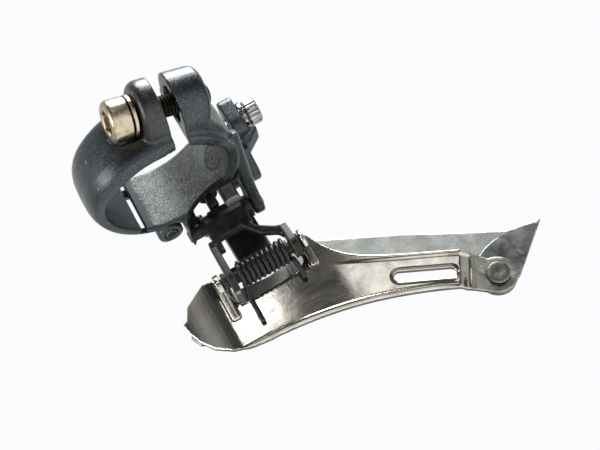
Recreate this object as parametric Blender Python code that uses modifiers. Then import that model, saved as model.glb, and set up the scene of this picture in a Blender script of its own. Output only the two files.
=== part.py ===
"""Two-speed road front derailleur with a hinged band clamp, seen as it sits on a bicycle.

Frame: origin on the seat-tube axis at mid height of the clamp band, +X forward (square to
the seat tube), +Y to the left (non-drive) side, +Z up along the seat tube. Metres.
"""
import math

import bmesh
import bpy
from mathutils import Vector

MM = 0.001

# clamp
BORE_R = 15.9
BAND_HALF = 7.25
BAND_WALL = 4.1
BODY_WALL = 3.1
BORE_STOCK = 1.0
GAP = 0.3
BOLT_ANGLE = 18.0
BOLT_REACH = 20.9
BOLT_Z = -0.6
LUG_R = 7.3
LUG_FRONT = 6.3
LUG_BACK = -9.6
SHANK_R = 2.5
WASHER_R = 4.9
HEAD_R = 4.8
HEAD_LEN = 4.7
HINGE = (5.0, -20.6)
HINGE_PIN_R = 1.6
KNUCKLE_R = 3.4
KNUCKLE_ROOM = 0.9
KNUCKLE_SPLIT = 3.2
SCALLOP_X = -7.6
SCALLOP_Z = -13.4
SCALLOP_R = 9.2
FIXED_END = -53.5
BAND_ARM_R = 17.4
BAND_START = -48.5
BAND_FLARE = 2.9
RIM_RETURN = 1.5
ARM_WINDOW = (-5.4, 4.8)
BODY_RISE = 2.6
BODY_DIP = 1.8

# four-bar linkage: positions (Y, Z) of the axes, which run along X
P2 = (-25.5, -8.0)
P4 = (-21.0, -26.6)
P1 = (-34.0, -2.8)
P3 = (-29.5, -21.4)
PIN_R = 1.6
CHEEK_R = 3.1
ARM_FRONT = (-2.7, 1.2)
ARM_OUTER = (-4.3, -2.4)
ARM_REAR = (-19.8, -16.9)
LINK_BARREL = (-16.5, -3.0)
SCREW_R = 1.4
LOW_SCREW = (-8.2, -23.4)
HIGH_SCREW = (-8.2, -28.2)
LOW_TIP = P2[1] + 3.1
HIGH_TIP = P2[1] + 4.4

# links
LINK_SHEET = 1.9
LINK_FRONT_X = -3.5
LINK_REAR_X = -21.4
OUTER_LINK_X = (-16.2, -6.6)
RISE_X = (-16.2, -11.6)

# spring
WIRE_R = 0.64
COIL_R = 2.75
COIL_X = (-18.4, -4.9)
COIL_TURNS = 10

# cage
SHEET = 1.4
INNER_Y = -27.6
OUTER_Y = -40.0
EAR_FRONT = (0.1, 1.6)
EAR_REAR = (-23.3, -22.2)
TAB_FRONT = (-3.4, -1.9)
TAB_REAR = (-19.4, -18.0)
FLANGE_FRONT = (2.4, 3.9)
FRONT_RIVET = (-31.6, -26.0)
TAIL_TIP = (-82.3, -46.3)
TAIL_LOW = (-68.0, -57.4)
EAR_R = 3.1
CRANK_X = 2.0
CRANK_Z = -158.0
LOW_R = 115.0
SLOT_FRONT = (-39.2, -45.3)
SLOT_REAR = (-50.8, -51.1)
SLOT_R = 1.3
RIVET = (-60.6, -57.0)
RIVET_R = 2.9
RIVET_SHANK = 2.2
FRONT_RIVET_R = 1.1
JOGGLE = 1.7
TAB_Y = INNER_Y - JOGGLE - SHEET - GAP

PARTS = bpy.data.collections.new("front_derailleur")
TOOLS = bpy.data.collections.new("cutters")


def material(name, color, metallic, roughness):
    mat = bpy.data.materials.get(name)
    if mat:
        return mat
    mat = bpy.data.materials.new(name)
    mat.use_nodes = True
    bsdf = mat.node_tree.nodes["Principled BSDF"]
    bsdf.inputs["Base Color"].default_value = (*color, 1.0)
    bsdf.inputs["Metallic"].default_value = metallic
    bsdf.inputs["Roughness"].default_value = roughness
    mat.diffuse_color = (*color, 1.0)
    return mat


def body_paint():
    return material("body_paint", (0.065, 0.085, 0.1), 0.6, 0.38)


def cage_steel():
    return material("cage_steel", (0.62, 0.6, 0.56), 1.0, 0.22)


def bridge_steel():
    return material("bridge_steel", (0.2, 0.21, 0.22), 0.9, 0.45)


def link_steel():
    return material("link_steel", (0.02, 0.02, 0.022), 0.7, 0.35)


def pin_steel():
    return material("pin_steel", (0.09, 0.09, 0.09), 0.9, 0.35)


def zinc_steel():
    return material("zinc_steel", (0.72, 0.6, 0.42), 1.0, 0.22)


def bright_steel():
    return material("bright_steel", (0.75, 0.75, 0.76), 1.0, 0.2)


def black_nylon():
    return material("black_nylon", (0.015, 0.015, 0.016), 0.0, 0.5)


def finish(obj, mat, place=PARTS):
    obj.data.materials.clear()
    obj.data.materials.append(mat)
    place.objects.link(obj)
    return obj


def from_bmesh(name, bm, smooth=None):
    bmesh.ops.remove_doubles(bm, verts=bm.verts, dist=1e-7)
    bmesh.ops.recalc_face_normals(bm, faces=bm.faces)
    mesh = bpy.data.meshes.new(name)
    bm.to_mesh(mesh)
    bm.free()
    obj = bpy.data.objects.new(name, mesh)
    if smooth:
        mesh.shade_smooth()
        mesh.set_sharp_from_angle(angle=math.radians(smooth))
    return obj


def arc(cx, cy, radius, start, end, steps):
    """Points of an arc in a plane, angles in degrees."""
    out = []
    for i in range(steps + 1):
        a = math.radians(start + (end - start) * i / steps)
        out.append((cx + radius * math.cos(a), cy + radius * math.sin(a)))
    return out


def tangent_hull(circles, steps=24):
    """Outline of the convex hull of circles (x, y, r)."""
    points = []
    for x, y, r in circles:
        points += arc(x, y, r, 0, 360, steps * 2)[:-1]
    points = sorted(set((round(px, 5), round(py, 5)) for px, py in points))

    def half(seq):
        chain = []
        for p in seq:
            while len(chain) > 1:
                (ax, ay), (bx, by) = chain[-2], chain[-1]
                if (bx - ax) * (p[1] - ay) - (by - ay) * (p[0] - ax) > 1e-9:
                    break
                chain.pop()
            chain.append(p)
        return chain

    low = half(points)
    high = half(points[::-1])
    return low[:-1] + high[:-1]


def prism(name, outline, frame, low, high, smooth=30):
    """Closed prism: outline (u, v) in mm, frame = (origin, u axis, v axis, w axis)."""
    origin, ua, va, wa = (Vector(v) for v in frame)
    bm = bmesh.new()
    rings = []
    for w in (low, high):
        rings.append([bm.verts.new((origin + ua * u + va * v + wa * w) * MM) for u, v in outline])
    count = len(outline)
    for i in range(count):
        j = (i + 1) % count
        bm.faces.new((rings[0][i], rings[0][j], rings[1][j], rings[1][i]))
    bm.faces.new(rings[0][::-1])
    bm.faces.new(rings[1])
    return from_bmesh(name, bm, smooth)


ALONG_X = ((0, 0, 0), (0, 1, 0), (0, 0, 1), (1, 0, 0))
ALONG_Y = ((0, 0, 0), (1, 0, 0), (0, 0, 1), (0, 1, 0))
ALONG_Z = ((0, 0, 0), (1, 0, 0), (0, 1, 0), (0, 0, 1))
_B = math.radians(BOLT_ANGLE)
BOLT_DIR = Vector((math.cos(_B), math.sin(_B), 0.0))
BOLT_SIDE = Vector((-math.sin(_B), math.cos(_B), 0.0))
BOLT_CENTRE = BOLT_SIDE * BOLT_REACH + Vector((0, 0, BOLT_Z))
ALONG_BOLT = ((0, 0, 0), BOLT_SIDE, (0, 0, 1), BOLT_DIR)


def lathe(name, base, axis, profile, steps=40, smooth=35):
    """Turned solid: profile is a list of (distance along axis, radius) in mm."""
    axis = Vector(axis).normalized()
    side = axis.orthogonal().normalized()
    other = axis.cross(side)
    bm = bmesh.new()
    rings = []
    for along, radius in profile:
        centre = Vector(base) + axis * along
        ring = []
        for i in range(steps):
            a = 2 * math.pi * i / steps
            ring.append(bm.verts.new((centre + (side * math.cos(a) + other * math.sin(a)) * radius) * MM))
        rings.append(ring)
    for low, high in zip(rings, rings[1:]):
        for i in range(steps):
            j = (i + 1) % steps
            bm.faces.new((low[i], low[j], high[j], high[i]))
    bm.faces.new(rings[0][::-1])
    bm.faces.new(rings[-1])
    return from_bmesh(name, bm, smooth)


def rod(name, base, axis, low, high, radius, chamfer=0.0, steps=32):
    if chamfer:
        profile = [(low, radius - chamfer), (low + chamfer, radius),
                   (high - chamfer, radius), (high, radius - chamfer)]
    else:
        profile = [(low, radius), (high, radius)]
    return lathe(name, base, axis, profile, steps)


def box(name, x, y, z):
    outline = [(x[0], y[0]), (x[1], y[0]), (x[1], y[1]), (x[0], y[1])]
    return prism(name, outline, ALONG_Z, z[0], z[1])


def combine(obj, others, operation):
    for other in others:
        other.display_type = "WIRE"
        other.hide_render = True
        other.hide_viewport = False
        TOOLS.objects.link(other)
        mod = obj.modifiers.new(operation.lower(), "BOOLEAN")
        mod.operation = operation
        mod.solver = "EXACT"
        mod.object = other
    return obj


def join(obj, *others):
    return combine(obj, others, "UNION")


def cut(obj, *others):
    return combine(obj, others, "DIFFERENCE")


def within(obj, *others):
    return combine(obj, others, "INTERSECT")


def soften(obj, width, segments=2, angle=35):
    mod = obj.modifiers.new("edge_round", "BEVEL")
    mod.width = width * MM
    mod.segments = segments
    mod.limit_method = "ANGLE"
    mod.angle_limit = math.radians(angle)
    mod.use_clamp_overlap = True
    return obj


def ring_sector(name, start, end, section, steps):
    """Band swept about Z; section(theta) gives a closed list of (radius, z)."""
    bm = bmesh.new()
    rings = []
    for i in range(steps + 1):
        theta = start + (end - start) * i / steps
        a = math.radians(theta)
        ring = [bm.verts.new((r * math.cos(a) * MM, r * math.sin(a) * MM, z * MM))
                for r, z in section(theta)]
        rings.append(ring)
    count = len(rings[0])
    for first, second in zip(rings, rings[1:]):
        for i in range(count):
            j = (i + 1) % count
            bm.faces.new((first[i], first[j], second[j], second[i]))
    bm.faces.new(rings[0][::-1])
    bm.faces.new(rings[-1])
    return from_bmesh(name, bm, 40)


def crowned(wall, low, high, crown, steps=8):
    """Band section: flat towards the tube, rounded outside; left oversize for the bore cut."""
    inner = BORE_R - BORE_STOCK
    middle, half = (low + high) / 2, (high - low) / 2
    points = [(inner, low), (inner, high)]
    for i in range(steps + 1):
        t = math.pi / 2 - math.pi * i / steps
        z = middle + half * math.copysign(abs(math.sin(t)) ** 0.7, math.sin(t))
        r = BORE_R + wall * (crown + (1 - crown) * abs(math.cos(t)) ** 0.8)
        points.append((r, z))
    return points


def bore_cutter(name="bore_cutter"):
    return rod(name, (0, 0, 0), (0, 0, 1), -30, 30, BORE_R, steps=96)


def gap_plane(x_at_14, lean, side):
    """Large block on one side of the slot between the clamp lugs."""
    slope = math.tan(math.radians(lean))
    low, high = 12.0, 40.0
    near = x_at_14 - (low - 14.0) * slope
    far = x_at_14 - (high - 14.0) * slope
    reach = 40.0 * side
    outline = [(near, low), (far, high), (far + reach, high), (near + reach, low)]
    if side < 0:
        outline = outline[::-1]
    return prism("gap_block", outline, ALONG_Z, -12, 12)


def lug(name, low, high, radius, root):
    """Lug with a half-round end about the clamp bolt, extruded along the bolt."""
    outline = arc(BOLT_REACH, BOLT_Z, radius, -90, 90, 20)
    outline += [(root, BOLT_Z + radius), (root, BOLT_Z - radius)]
    return prism(name, outline, ALONG_BOLT, low, high)


def knuckle(name, low, high, grow=0.0):
    return rod(name, (*HINGE, 0), (0, 0, 1), low, high, KNUCKLE_R + grow, steps=40)


def arm_outline():
    """Side cheek of the body that carries the two upper pivot pins."""
    return tangent_hull([(*P2, CHEEK_R), (*P1, 2.8), (-17.0, -2.2, 3.0), (-17.0, -5.0, 2.0)])


def clamp_body():
    def section(theta):
        rise = BODY_RISE * smooth_step(theta, 195, 240)
        dip = BODY_DIP * (1 - smooth_step(theta, 142, 178))
        return crowned(BODY_WALL, -BAND_HALF - dip, BAND_HALF + rise, 0.75)

    def arm_room(theta):
        return [(BAND_ARM_R - GAP, -12), (BAND_ARM_R - GAP, 12), (25, 12), (25, -12)]

    body = ring_sector("clamp_body", 99, 360 + FIXED_END, section, 60)
    post = soften(lug("lug", LUG_BACK, 2.0, LUG_R, 11.0), 1.5, 3)
    flank = prism("flank", [(6.0, -6.8), (4.0, -4.0), (-4.0, 1.6), (-12.0, 6.7), (-21.0, 6.7), (-21.0, -6.8)],
                  ALONG_X, -20.2, -16.5)
    root = prism("lug_root", [(-15.3, 15.4), (-16.0, 12.4), (-17.5, 8.8), (-18.8, 4.4), (-15.8, 4.2),
                              (-11.5, 12.4)], ALONG_Z, -6.6, 3.4)
    shelf = prism("shelf", [(-19.3, -14), (-19.3, -20.5), (1.0, -20.5), (1.0, -14)], ALONG_Z, -2.6, 6.2)
    boss = prism("screw_boss", tangent_hull([(LOW_SCREW[0], LOW_SCREW[1], 2.9), (*HIGH_SCREW, 2.9),
                                             (LOW_SCREW[0], -18.0, 2.9)]), ALONG_Z, 1.4, 7.0)
    near = tangent_hull([(*P2, CHEEK_R), (-29.0, -4.0, 1.6), (-17.0, -2.2, 3.0), (-17.0, -5.0, 2.0)])
    front = prism("cheek_front", near, ALONG_X, *ARM_FRONT)
    outer = prism("cheek_outer", tangent_hull([(*P1, 2.8), (-28.6, -3.2, 1.4)]), ALONG_X, *ARM_OUTER)
    rear = prism("cheek_rear", arm_outline(), ALONG_X, *ARM_REAR)
    middle = knuckle("hinge_middle", -KNUCKLE_SPLIT, KNUCKLE_SPLIT)
    neck = prism("hinge_neck", arc(0, 0, 16.6, -86, -72, 4) + arc(0, 0, 20.6, -72, -85, 4), ALONG_Z,
                 -KNUCKLE_SPLIT + 0.1, KNUCKLE_SPLIT - 0.1)
    join(body, post, soften(root, 1.0), soften(flank, 1.0), soften(shelf, 0.8), soften(boss, 0.5),
         soften(front, 0.6), soften(rear, 0.6), soften(outer, 0.4))
    cut(body, ring_sector("arm_room", -79, -38, arm_room, 24))
    join(body, middle, neck)
    cut(body, bore_cutter(), gap_plane(-8.4, 8, 1))
    for low, high in ((-30, -KNUCKLE_SPLIT - GAP), (KNUCKLE_SPLIT + GAP, 30)):
        cut(body, knuckle("knuckle_room", low, high, KNUCKLE_ROOM))
    cut(body, rod("rim_scallop", (SCALLOP_X, 0, SCALLOP_Z), (0, 1, 0), -40, -10, SCALLOP_R, steps=40))
    cut(body, rod("hinge_hole", (*HINGE, 0), (0, 0, 1), -30, 30, HINGE_PIN_R + GAP))
    cut(body, rod("insert_hole", BOLT_CENTRE, BOLT_DIR, -30, 12, SHANK_R + 1.5 + GAP))
    for y, z in (P1, P2):
        cut(body, rod("pivot_hole", (0, y, z), (1, 0, 0), -40, 10, PIN_R + GAP))
    for x, y in (LOW_SCREW, HIGH_SCREW):
        cut(body, rod("screw_hole", (x, y, 0), (0, 0, 1), -2, 20, SCREW_R + GAP))
    return finish(body, body_paint())


def clamp_band():
    def section(theta):
        grow = max(0.0, min(1.0, (theta + 20) / 70))
        low = -BAND_HALF - BAND_FLARE * smooth_step(theta, -8, 68) + RIM_RETURN * smooth_step(theta, 92, 125)
        return crowned(3.4 + (BAND_WALL - 3.4) * grow, low, BAND_HALF - 1.3 * grow, 0.42)

    def arm_section(theta):
        section = crowned(3.4, -BAND_HALF, BAND_HALF, 0.42)
        return [(max(r, BAND_ARM_R), z) for r, z in section]

    band = ring_sector("clamp_band", BAND_START, 130, section, 58)
    arm = ring_sector("outer_arm", -74, BAND_START + 6, arm_section, 16)
    low = knuckle("knuckle_low", -BAND_HALF, -KNUCKLE_SPLIT)
    high = knuckle("knuckle_high", KNUCKLE_SPLIT, BAND_HALF)
    post = soften(lug("post", -6.0, LUG_FRONT, LUG_R, 11.0), 2.2, 4)
    window = [(14, ARM_WINDOW[0]), (14, ARM_WINDOW[1]), (25, ARM_WINDOW[1]), (25, ARM_WINDOW[0])]
    join(band, post, arm, low, high)
    cut(band, bore_cutter(), gap_plane(-5.0, 8, -1))
    cut(band, ring_sector("arm_window", -65.0, BAND_START + 0.5, lambda theta: window, 12))
    cut(band, knuckle("knuckle_room", -KNUCKLE_SPLIT - GAP, KNUCKLE_SPLIT + GAP, KNUCKLE_ROOM))
    cut(band, rod("hinge_hole", (*HINGE, 0), (0, 0, 1), -30, 30, HINGE_PIN_R + GAP))
    cut(band, rod("clear_hole", BOLT_CENTRE, BOLT_DIR, -12, 30, SHANK_R + 1.0))
    cut(band, rod("spot_face", BOLT_CENTRE, BOLT_DIR, LUG_FRONT - 0.1, 20, WASHER_R + 0.5, steps=40))
    return finish(band, body_paint())


def clamp_bolt():
    centre = BOLT_CENTRE
    base = LUG_FRONT + 1.5
    profile = [(-11.6, SHANK_R - 0.5), (-11.1, SHANK_R), (base, SHANK_R), (base, HEAD_R),
               (base + HEAD_LEN - 0.7, HEAD_R), (base + HEAD_LEN, HEAD_R - 0.7)]
    bolt = lathe("clamp_bolt", centre, BOLT_DIR, profile, 48)
    socket = rod("socket", centre, BOLT_DIR, base + HEAD_LEN - 3.0, base + HEAD_LEN + 2, 2.9, steps=6)
    cut(bolt, socket)
    return finish(bolt, zinc_steel())


def washer(name, centre, axis, low, high, inner, outer, mat):
    piece = rod(name, centre, axis, low, high, outer, 0.12, 28)
    cut(piece, rod("washer_hole", centre, axis, low - 5, high + 5, inner, steps=28))
    return finish(piece, mat)


def band_hinge_pin():
    pin = rod("band_hinge_pin", (*HINGE, 0), (0, 0, 1), -BAND_HALF - 0.2, BAND_HALF + 0.2,
              HINGE_PIN_R, 0.3)
    return finish(pin, pin_steel())


CABLE_AXIS = (-1.0, 0.0, 0.0)
CABLE_AT = (-24.0, -26.5, 18.2)
ARM_X = (-24.4, -21.4)


def outer_link():
    """Outer link: lower bar, riser clear of the body, cross piece and cable arm behind it."""
    low, high = OUTER_LINK_X
    bar = prism("outer_link", tangent_hull([(*P1, 3.3), (*P3, 2.6)]), ALONG_X, low, high)
    rise = prism("rise", tangent_hull([(P1[0] - 0.6, P1[1], 2.6), (P1[0] - 1.0, 10.0, 2.4)]),
                 ALONG_X, *RISE_X)
    cross = prism("cross", tangent_hull([(P1[0] - 1.0, 6.4, 2.4), (P1[0] - 0.6, 10.5, 2.4)]),
                  ALONG_X, ARM_X[0] + 0.3, RISE_X[1] - 0.3)
    lobe = prism("lobe", tangent_hull([(P1[0] + 1.0, 6.2, 3.8), (-27.6, 13.5, 3.8)]), ALONG_X, *ARM_X)
    head = prism("arm_head", tangent_hull([(CABLE_AT[1], CABLE_AT[2] - 2.0, 4.4),
                                           (CABLE_AT[1] - 1.6, 21.6, 2.8),
                                           (CABLE_AT[1] + 1.6, 21.6, 2.8)]), ALONG_X, -26.9, -22.6)
    tooth = prism("tooth", [(-24.0, 16.0), (-29.0, 13.0), (-29.0, 11.6), (-24.6, 8.2), (-23.6, 8.4)],
                  ALONG_Y, -29.6, -24.6)
    join(bar, soften(rise, 0.6), soften(cross, 0.6), soften(lobe, 0.7), soften(head, 0.5), soften(tooth, 0.4))
    for y, z in (P1, P3):
        cut(bar, rod("pivot_hole", (0, y, z), (1, 0, 0), -40, 10, PIN_R + GAP))
    cut(bar, rod("anchor_hole", CABLE_AT, CABLE_AXIS, -30, 30, 2.5 + GAP))
    cut(bar, rod("washer_room", CABLE_AT, CABLE_AXIS, 3.0, 30, 4.5))
    return finish(bar, body_paint())


def cable_bolt():
    profile = [(-2.0, 2.0), (-1.5, 2.5), (4.5, 2.5), (4.5, 3.7), (7.8, 3.7), (8.3, 3.2)]
    bolt = lathe("cable_bolt", CABLE_AT, CABLE_AXIS, profile, 48)
    socket = rod("socket", CABLE_AT, CABLE_AXIS, 5.8, 12.0, 2.2, steps=6)
    cut(bolt, socket)
    return finish(bolt, bright_steel())


def inner_link():
    """Black inner link: barrel and web on top, a straight front arm and a jogged rear arm."""
    y, z = P2
    front_x = (LINK_FRONT_X, LINK_FRONT_X + LINK_SHEET)
    rear_x = (LINK_REAR_X, LINK_REAR_X + LINK_SHEET)
    arm = tangent_hull([(*P4, EAR_R), (y + 3.5, z - 9.6, 2.1)])
    front = prism("inner_link", arm, ALONG_X, *front_x)
    rear = prism("arm_rear", tangent_hull([(*P4, EAR_R), (y + 4.4, z - 13.4, 1.6)]), ALONG_X, *rear_x)
    barrel = rod("barrel", (0, *P2), (1, 0, 0), *LINK_BARREL, 3.1)
    web = prism("web", [(y - 1.0, z + 2.4), (y + 2.6, z + 1.2), (y + 4.6, z - 1.4), (y + 4.9, z - 6.8),
                        (y + 2.6, z - 7.2), (y - 1.0, z - 2.6)], ALONG_X, -14.7, -3.1)
    corner = box("corner", (-5.0, front_x[1] - 0.15), (y + 1.9, y + 4.8), (z - 10.0, z - 6.4))
    jog = prism("jog", [(-13.0, z - 5.0), (-14.8, z - 8.4), (-18.5, z - 10.9), (rear_x[0] + 0.2, z - 12.2),
                        (rear_x[0] + 0.2, z - 14.6), (rear_x[1] + 0.4, z - 14.6), (-18.6, z - 13.4),
                        (-14.6, z - 11.2), (-11.6, z - 7.0), (-11.0, z - 5.0)], ALONG_Y, y + 2.8, y + 5.0)
    rocker = box("rocker", (-11.0, -5.4), (y - 3.0, y + 3.0), (z, z + 2.5))
    join(front, barrel, soften(web, 0.8), soften(corner, 0.3), soften(jog, 0.4), rear, rocker)
    for py, pz in (P2, P4):
        cut(front, rod("pivot_hole", (0, py, pz), (1, 0, 0), -40, 10, PIN_R + GAP))
    return finish(front, link_steel())


def pin(name, at, low, high):
    piece = rod(name, (0, *at), (1, 0, 0), low, high, PIN_R, 0.25, 24)
    return finish(piece, pin_steel())


def return_spring():
    """Torsion spring: a coil about the lower inner pivot with two straight legs."""
    points = []
    turns = COIL_TURNS
    steps = 11
    total = turns * steps
    start = -100.0
    for i in range(total + 1):
        a = math.radians(start + 360.0 * i / steps)
        x = COIL_X[1] + (COIL_X[0] - COIL_X[1]) * i / total
        points.append((x, P4[0] + COIL_R * math.cos(a), P4[1] + COIL_R * math.sin(a)))
    first = points[0]
    lead = [(first[0] + 0.4, INNER_Y + SHEET + 1.3, -38.6), (first[0] + 0.3, P4[0] - 3.6, P4[1] - 4.4)]
    last = points[-1]
    tail = [(last[0] - 0.4, P4[0] - 1.6, P4[1] - 4.6), (last[0] - 0.5, INNER_Y + SHEET + 1.2, P4[1] - 7.0)]
    curve = bpy.data.curves.new("return_spring", "CURVE")
    curve.dimensions = "3D"
    curve.bevel_depth = WIRE_R * MM
    curve.bevel_resolution = 2
    curve.use_fill_caps = True
    path = lead + points + tail
    spline = curve.splines.new("POLY")
    spline.points.add(len(path) - 1)
    for node, p in zip(spline.points, path):
        node.co = (p[0] * MM, p[1] * MM, p[2] * MM, 1.0)
    obj = bpy.data.objects.new("return_spring", curve)
    obj.data.materials.append(link_steel())
    PARTS.objects.link(obj)
    return obj


def bent_sheet(name, profile, thickness, origin, heading, low, high):
    """Sheet bent about parallel lines; profile is (distance, y) along a heading in the XZ plane."""
    a = math.radians(heading)
    outline = list(profile) + [(s, y + thickness) for s, y in reversed(profile)]
    along = (math.cos(a), 0, math.sin(a))
    across = (-math.sin(a), 0, math.cos(a))
    return prism(name, outline, ((origin[0], 0, origin[1]), along, (0, 1, 0), across), low, high)


def smooth_step(value, start, end):
    t = max(0.0, min(1.0, (value - start) / (end - start)))
    return t * t * (3.0 - 2.0 * t)


def crank_arc(radius, x):
    return CRANK_Z + math.sqrt(radius * radius - (x - CRANK_X) ** 2)


def lower_edge(x_from, x_to, steps):
    points = []
    for i in range(steps + 1):
        x = x_from + (x_to - x_from) * i / steps
        points.append((x, crank_arc(LOW_R, x)))
    return points


def top_edge(x_from, x_to, steps):
    """Concave top edge of the inner plate behind the rear ear."""
    points = []
    for i in range(steps + 1):
        x = x_from + (x_to - x_from) * i / steps
        drop = 9.0 * (1 - math.exp((x - x_from) / 4.0))
        points.append((x, -22.4 + (x - x_from) * 0.5 - drop))
    return points


def inner_depth(x):
    """Outer face of the inner plate: joggled tail and turned-in nose."""
    return INNER_Y - JOGGLE * smooth_step(-x, 53.2, 56.2) - 3.2 * smooth_step(x, 3.0, 14.0)


def cage_inner_plate():
    outline = [(1.7, -21.8), (4.6, -21.2), (10.6, -23.6), (12.2, -26.6), (13.6, -27.2)]
    outline += [(13.0, -30.4), (11.6, -34.0), (9.3, -37.6), (5.4, -40.9), (1.5, -42.5)]
    outline += lower_edge(-3.0, -53.0, 20)
    outline += arc(RIVET[0], RIVET[1], 4.9, -50, -265, 16)
    outline += top_edge(-24.6, -57.0, 16)[::-1]
    outline += [(-21.6, -24.0), (-20.8, -29.2), (-18.6, -31.0), (-3.4, -31.6), (-0.8, -30.0), (0.2, -22.4)]
    stations = [-68.0] + [-56.4 + 0.4 * i for i in range(9)] + [2.8 + 1.2 * i for i in range(11)] + [16.0]
    profile = [(x, inner_depth(x)) for x in stations]
    plate = bent_sheet("cage_inner_plate", profile, SHEET, (0, 0), 0, -66, -14)
    within(plate, prism("inner_outline", outline, ALONG_Y, -40, -15))
    ear_f = prism("ear_front", tangent_hull([(*P4, EAR_R), (INNER_Y + 1.0, -33.4, 0.9),
                                             (*FRONT_RIVET, 2.2)]), ALONG_X, *EAR_FRONT)
    ear_r = prism("ear_rear", tangent_hull([(*P4, EAR_R), (INNER_Y + 1.0, -30.6, 0.9),
                                            (INNER_Y + 1.0, -24.2, 0.9)]), ALONG_X, *EAR_REAR)
    join(plate, ear_f, ear_r)
    cut(plate, prism("slot", tangent_hull([(*SLOT_FRONT, SLOT_R), (*SLOT_REAR, SLOT_R)]), ALONG_Y, -40, -15))
    cut(plate, rod("pivot_hole", (0, *P4), (1, 0, 0), -40, 10, PIN_R + GAP))
    cut(plate, rod("front_hole", (0, *FRONT_RIVET), (1, 0, 0), -10, 10, FRONT_RIVET_R + GAP))
    cut(plate, rod("rivet_hole", (RIVET[0], 0, RIVET[1]), (0, 1, 0), -60, 10, RIVET_SHANK + GAP))
    return finish(plate, cage_steel())


def outer_depth(x):
    """Outer face of the outer plate: flat, its front end flared away from the chain."""
    return OUTER_Y - 2.2 * smooth_step(x, 4.0, 14.0)


def cage_outer_plate():
    top = [(10.0, -22.6), (2.0, -21.2), (-12.0, -22.6), (-17.0, -22.0), (-20.0, -19.4), (-25.7, -18.8),
           (-36.0, -24.2), (-48.2, -30.6), (-60.0, -37.6), (-73.0, -44.9), TAIL_TIP]
    low = [TAIL_LOW, (-62.0, -51.6), (-56.5, -46.6), (-48.0, -40.4), (-36.0, -36.0), (-24.0, -34.6),
           (-12.0, -34.8), (0.0, -34.2), (8.0, -32.4), (12.5, -29.6), (14.0, -26.5)]
    stations = [-86.0] + [3.6 + 1.4 * i for i in range(9)]
    profile = [(x, outer_depth(x)) for x in stations]
    plate = bent_sheet("cage_outer_plate", profile, SHEET, (0, 0), 0, -70, -14)
    within(plate, prism("outer_outline", (top + low)[::-1], ALONG_Y, -60, -15))
    tab = arc(RIVET[0], RIVET[1], 4.8, 200, 380, 16)
    tab += [(-57.4, -51.0), (-62.0, -48.9), (-71.0, -46.9), (TAIL_TIP[0] + 0.4, TAIL_TIP[1] - 0.1)]
    tab += [(-75.6, -51.2), (TAIL_LOW[0] - 0.3, TAIL_LOW[1] - 0.2)]
    run = (TAIL_TIP[0] - RIVET[0], TAIL_TIP[1] - RIVET[1])
    full = math.hypot(*run)
    slope = [(-9.0, TAB_Y), (8.2, TAB_Y), (9.6, TAB_Y - 0.5), (full - 2.4, OUTER_Y + 0.7),
             (full - 0.8, OUTER_Y + 0.25), (full + 4.0, OUTER_Y + 0.25)]
    fin = bent_sheet("fin", slope, SHEET, RIVET, math.degrees(math.atan2(run[1], run[0])), -16, 16)
    within(fin, prism("fin_outline", tab, ALONG_Y, -60, -15))
    ears = tangent_hull([(*P3, 2.5), (OUTER_Y + 1.0, -27.0, 0.9), (OUTER_Y + 1.0, -22.4, 0.9)])
    bridge = tangent_hull([(*FRONT_RIVET, 2.2), (OUTER_Y, -30.0, 1.0), (OUTER_Y, -25.0, 1.0)])
    join(plate, fin, prism("tab_front", ears, ALONG_X, *TAB_FRONT),
         prism("tab_rear", ears, ALONG_X, *TAB_REAR),
         prism("flange_front", bridge, ALONG_X, *FLANGE_FRONT))
    cut(plate, rod("rivet_hole", (RIVET[0], 0, RIVET[1]), (0, 1, 0), -35, 10, RIVET_SHANK + GAP),
        rod("pivot_hole", (0, *P3), (1, 0, 0), -40, 10, PIN_R + GAP),
        rod("front_hole", (0, *FRONT_RIVET), (1, 0, 0), -10, 10, FRONT_RIVET_R + GAP))
    return finish(plate, bridge_steel())


def rivet(name, at, axis, low, high, shank, head):
    profile = [(low, head - 0.5), (low + 0.4, head), (low + 0.9, head), (low + 0.9, shank),
               (high - 0.9, shank), (high - 0.9, head), (high - 0.4, head), (high, head - 0.5)]
    return finish(lathe(name, at, axis, profile, 28), pin_steel())


def limit_screw(name, at, tip):
    profile = [(tip, 1.0), (tip + 0.5, SCREW_R), (8.0, SCREW_R), (8.0, 2.1), (9.4, 2.1), (9.9, 1.6)]
    screw = lathe(name, (*at, 0), (0, 0, 1), profile, 24)
    cut(screw, box("slot_a", (at[0] - 1.3, at[0] + 1.3), (at[1] - 0.25, at[1] + 0.25), (8.9, 12)),
        box("slot_b", (at[0] - 0.25, at[0] + 0.25), (at[1] - 1.3, at[1] + 1.3), (8.9, 12)))
    return finish(screw, link_steel())


def shim(name, at, x, thickness):
    """Spacer ring on a pivot pin."""
    return washer(name, (x, *at), (1, 0, 0), 0.0, thickness, PIN_R + GAP, 2.7, pin_steel())


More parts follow.
